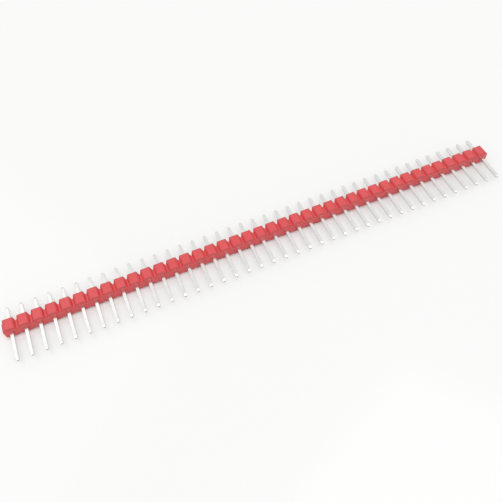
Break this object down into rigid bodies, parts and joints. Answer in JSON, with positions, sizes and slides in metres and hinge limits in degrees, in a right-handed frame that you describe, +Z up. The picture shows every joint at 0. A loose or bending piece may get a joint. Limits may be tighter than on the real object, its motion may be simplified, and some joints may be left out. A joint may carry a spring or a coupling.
{
  "type": "pin header strip",
  "caption": "Straight single-row breakaway pin header: a grooved and notched red insulator strip with square plated pins pressed through it.",
  "frame": {"origin": "on the surface that the strip lies on, midway along the row and midway between the mating tips and the tail tips", "axes": "+X along the row from the first pin to the last, +Y along the pins towards the solder tails, -Y towards the mating tips, +Z up from the broad side that the strip lies on"},
  "size_m": [0.1016, 0.0114, 0.0025],
  "materials": {
    "insulator": "satin",
    "contact_pin": "polished"
  },
  "bodies": {
    "root": {"insulator_strip": "insulator", "pin_01": "contact_pin", "pin_02": "contact_pin", "pin_03": "contact_pin", "pin_04": "contact_pin", "pin_05": "contact_pin", "pin_06": "contact_pin", "pin_07": "contact_pin", "pin_08": "contact_pin", "pin_09": "contact_pin", "pin_10": "contact_pin", "pin_11": "contact_pin", "pin_12": "contact_pin", "pin_13": "contact_pin", "pin_14": "contact_pin", "pin_15": "contact_pin", "pin_16": "contact_pin", "pin_17": "contact_pin", "pin_18": "contact_pin", "pin_19": "contact_pin", "pin_20": "contact_pin", "pin_21": "contact_pin", "pin_22": "contact_pin", "pin_23": "contact_pin", "pin_24": "contact_pin", "pin_25": "contact_pin", "pin_26": "contact_pin", "pin_27": "contact_pin", "pin_28": "contact_pin", "pin_29": "contact_pin", "pin_30": "contact_pin", "pin_31": "contact_pin", "pin_32": "contact_pin", "pin_33": "contact_pin", "pin_34": "contact_pin", "pin_35": "contact_pin", "pin_36": "contact_pin", "pin_37": "contact_pin", "pin_38": "contact_pin", "pin_39": "contact_pin", "pin_40": "contact_pin"}
  },
  "joints": []
}
